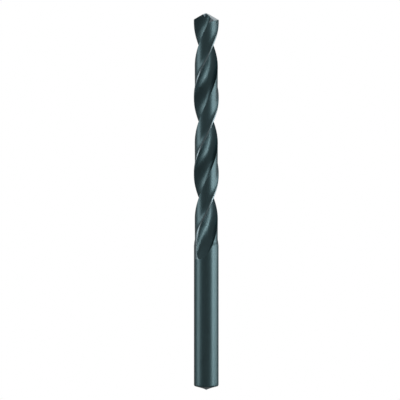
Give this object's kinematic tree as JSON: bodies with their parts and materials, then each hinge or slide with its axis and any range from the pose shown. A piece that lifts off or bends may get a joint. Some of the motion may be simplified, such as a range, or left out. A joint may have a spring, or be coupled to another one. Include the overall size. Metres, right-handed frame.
{
  "type": "twist drill bit",
  "caption": "Straight-shank jobber twist drill with right-hand helical flutes, narrow margins and a web-thinned point, in black oxide steel.",
  "frame": {"origin": "tip of the shank end, on the drill's axis", "axes": "+Z along the drill's axis, from the shank end toward the point; the cutting lips lie along X at the point"},
  "size_m": [0.008, 0.008, 0.1207],
  "materials": {
    "drill_bit": "high-speed steel, steam-tempered black oxide with a blue-green cast, ground point paler"
  },
  "bodies": {
    "root": {"drill_bit": "drill_bit"}
  },
  "joints": []
}
